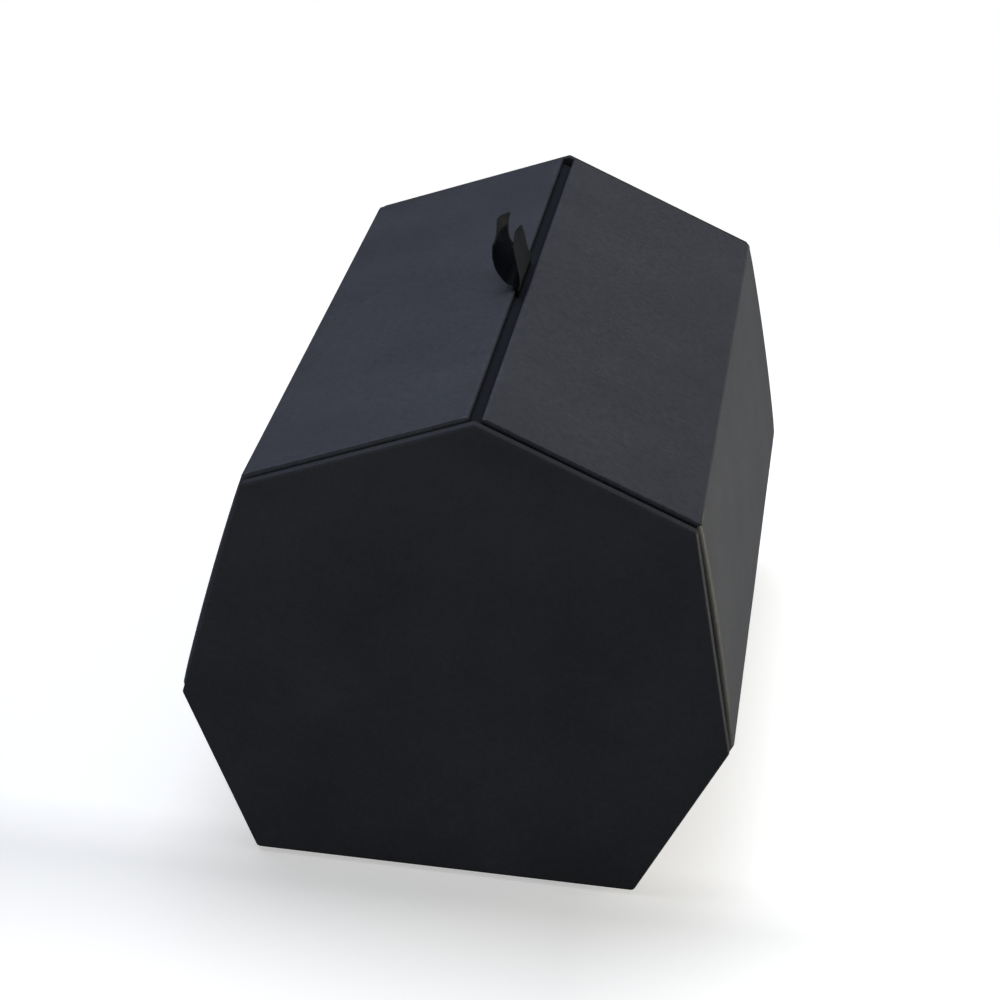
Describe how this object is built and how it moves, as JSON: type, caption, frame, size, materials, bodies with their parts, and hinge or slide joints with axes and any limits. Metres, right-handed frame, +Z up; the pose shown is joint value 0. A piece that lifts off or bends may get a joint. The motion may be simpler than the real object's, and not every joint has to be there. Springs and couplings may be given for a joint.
{
  "type": "presentation box",
  "caption": "Rigid covered presentation box with a seven-sided section, two hinged roof doors that meet along the ridge, and a short pull ribbon.",
  "frame": {"origin": "centre of the base, on the plane the box rests on", "axes": "+Z up from the base to the ridge, +Y along the box from the front end plate to the rear one, +X across it to the right as seen from the front"},
  "size_m": [0.124, 0.197, 0.1202],
  "materials": {
    "black_cover": "matt fine-grained black cover paper",
    "greyboard": "raw grey bookbinding board",
    "black_lining": "uncoated black lining paper",
    "black_card": "dyed black card",
    "black_satin": "woven satin ribbon with a soft sheen",
    "magnet_plate": "nickel plate"
  },
  "bodies": {
    "case": {"front_end_board": "greyboard", "front_end_wrap": "black_cover", "rear_end_board": "greyboard", "rear_end_wrap": "black_cover", "front_gable_liner": "greyboard", "rear_gable_liner": "greyboard", "base_board": "greyboard", "left_lower_board": "greyboard", "right_lower_board": "greyboard", "left_wall_board": "greyboard", "right_wall_board": "greyboard", "jacket_wrap": "black_cover", "base_liner": "greyboard", "left_lower_liner": "greyboard", "right_lower_liner": "greyboard", "left_wall_liner": "greyboard", "right_wall_liner": "greyboard", "tray_lining": "black_lining", "front_lining": "black_lining", "rear_lining": "black_lining"},
    "left_leaf": {"left_leaf_board": "greyboard", "left_leaf_wrap": "black_cover", "left_leaf_card": "black_card", "left_front_magnet": "magnet_plate", "left_rear_magnet": "magnet_plate", "ribbon_root": "black_satin"},
    "right_leaf": {"right_leaf_board": "greyboard", "right_leaf_wrap": "black_cover", "right_leaf_card": "black_card", "right_leaf_lip": "black_card", "right_front_magnet": "magnet_plate", "right_rear_magnet": "magnet_plate"},
    "ribbon": {"pull_ribbon": "black_satin"}
  },
  "joints": [
    {"name": "left_leaf_hinge", "type": "hinge", "parent": "case", "child": "left_leaf", "pos_m": [-0.0502, 0, 0.0902], "axis": [0, -1, 0], "range_deg": [0, 210]},
    {"name": "right_leaf_hinge", "type": "hinge", "parent": "case", "child": "right_leaf", "pos_m": [0.0502, 0, 0.0902], "axis": [0, 1, 0], "range_deg": [0, 225]},
    {"name": "ribbon_flop", "type": "hinge", "parent": "left_leaf", "child": "ribbon", "pos_m": [-0.00088, 0, 0.11], "axis": [0, 1, 0], "range_deg": [-40, 100]}
  ]
}
